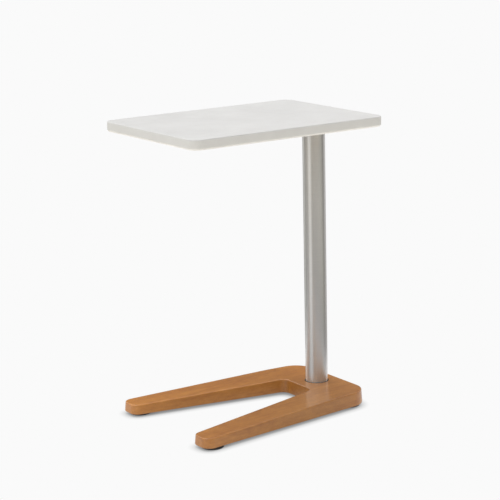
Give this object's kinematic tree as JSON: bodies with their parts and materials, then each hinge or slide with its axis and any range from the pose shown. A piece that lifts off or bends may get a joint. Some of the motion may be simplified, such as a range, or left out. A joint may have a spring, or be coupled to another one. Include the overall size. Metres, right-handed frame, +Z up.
{
  "type": "overbed table",
  "caption": "Fixed-height pull-up overbed table: rectangular top cantilevered from a round column on a V-shaped wooden base with levelling glides.",
  "frame": {"origin": "on the floor, under the middle of the table top (bottom centre of the bounding box)", "axes": "+Z up; +X towards the column end, so the base's legs open towards -X; the part is symmetric about the XZ plane"},
  "size_m": [0.496, 0.36, 0.667],
  "materials": {
    "solid_surface": "off-white cast solid surface, fine matt sanding, faint mottling",
    "core_panel": "birch plywood, sanded, unlacquered",
    "black_coated_steel": "fine-texture black powder coat",
    "brushed_column": "satin brushed steel tube",
    "zinc_plated_steel": "bright zinc plating",
    "black_rubber": "black, matt",
    "lacquered_wood": "honey-brown hardwood, satin clear lacquer, grain along the legs",
    "brass": "turned, unpolished",
    "black_nylon": "moulded black nylon, fine texture"
  },
  "bodies": {
    "table_frame": {"table_top": "solid_surface", "top_core_panel": "core_panel", "top_plate": "black_coated_steel", "column_tube": "brushed_column", "column_top_plug": "zinc_plated_steel", "column_bottom_plug": "zinc_plated_steel", "column_seal_ring": "black_rubber", "wood_base": "lacquered_wood", "base_plate": "black_coated_steel", "top_insert_1": "brass", "top_screw_1": "zinc_plated_steel", "base_plate_screw_1": "zinc_plated_steel", "top_insert_2": "brass", "top_screw_2": "zinc_plated_steel", "base_plate_screw_2": "zinc_plated_steel", "top_insert_3": "brass", "top_screw_3": "zinc_plated_steel", "base_plate_screw_3": "zinc_plated_steel", "top_insert_4": "brass", "top_screw_4": "zinc_plated_steel", "base_plate_screw_4": "zinc_plated_steel", "top_insert_5": "brass", "top_screw_5": "zinc_plated_steel", "base_plate_screw_5": "zinc_plated_steel", "top_insert_6": "brass", "top_screw_6": "zinc_plated_steel", "base_plate_screw_6": "zinc_plated_steel", "column_top_bolt_1": "zinc_plated_steel", "column_bottom_bolt_1": "zinc_plated_steel", "column_top_bolt_2": "zinc_plated_steel", "column_bottom_bolt_2": "zinc_plated_steel", "column_top_bolt_3": "zinc_plated_steel", "column_bottom_bolt_3": "zinc_plated_steel", "column_top_bolt_4": "zinc_plated_steel", "column_bottom_bolt_4": "zinc_plated_steel", "front_left_glide_insert": "zinc_plated_steel", "front_right_glide_insert": "zinc_plated_steel", "rear_left_glide_insert": "zinc_plated_steel", "rear_right_glide_insert": "zinc_plated_steel"},
    "front_left_foot": {"front_left_glide_foot": "black_nylon", "front_left_glide_pad": "black_rubber"},
    "front_left_stem": {"front_left_glide_stem": "zinc_plated_steel"},
    "front_right_foot": {"front_right_glide_foot": "black_nylon", "front_right_glide_pad": "black_rubber"},
    "front_right_stem": {"front_right_glide_stem": "zinc_plated_steel"},
    "rear_left_foot": {"rear_left_glide_foot": "black_nylon", "rear_left_glide_pad": "black_rubber"},
    "rear_left_stem": {"rear_left_glide_stem": "zinc_plated_steel"},
    "rear_right_foot": {"rear_right_glide_foot": "black_nylon", "rear_right_glide_pad": "black_rubber"},
    "rear_right_stem": {"rear_right_glide_stem": "zinc_plated_steel"}
  },
  "joints": [
    {"name": "front_left_glide_lift", "type": "slide", "parent": "table_frame", "child": "front_left_foot", "axis": [0, 0, -1], "range_m": [0, 0.008]},
    {"name": "front_left_glide_turn", "type": "hinge", "parent": "front_left_foot", "child": "front_left_stem", "pos_m": [-0.2, -0.1474, 0.012], "axis": [0, 0, -1], "range_deg": [0, 2304]},
    {"name": "front_right_glide_lift", "type": "slide", "parent": "table_frame", "child": "front_right_foot", "axis": [0, 0, -1], "range_m": [0, 0.008]},
    {"name": "front_right_glide_turn", "type": "hinge", "parent": "front_right_foot", "child": "front_right_stem", "pos_m": [-0.2, 0.1474, 0.012], "axis": [0, 0, -1], "range_deg": [0, 2304]},
    {"name": "rear_left_glide_lift", "type": "slide", "parent": "table_frame", "child": "rear_left_foot", "axis": [0, 0, -1], "range_m": [0, 0.008]},
    {"name": "rear_left_glide_turn", "type": "hinge", "parent": "rear_left_foot", "child": "rear_left_stem", "pos_m": [0.203, -0.101, 0.012], "axis": [0, 0, -1], "range_deg": [0, 2304]},
    {"name": "rear_right_glide_lift", "type": "slide", "parent": "table_frame", "child": "rear_right_foot", "axis": [0, 0, -1], "range_m": [0, 0.008]},
    {"name": "rear_right_glide_turn", "type": "hinge", "parent": "rear_right_foot", "child": "rear_right_stem", "pos_m": [0.203, 0.101, 0.012], "axis": [0, 0, -1], "range_deg": [0, 2304]}
  ],
  "couplings": [
    {"joint": "front_left_glide_turn", "follows": "front_left_glide_lift", "rad_per_m": 5026.5},
    {"joint": "front_right_glide_turn", "follows": "front_right_glide_lift", "rad_per_m": 5026.5},
    {"joint": "rear_left_glide_turn", "follows": "rear_left_glide_lift", "rad_per_m": 5026.5},
    {"joint": "rear_right_glide_turn", "follows": "rear_right_glide_lift", "rad_per_m": 5026.5}
  ]
}
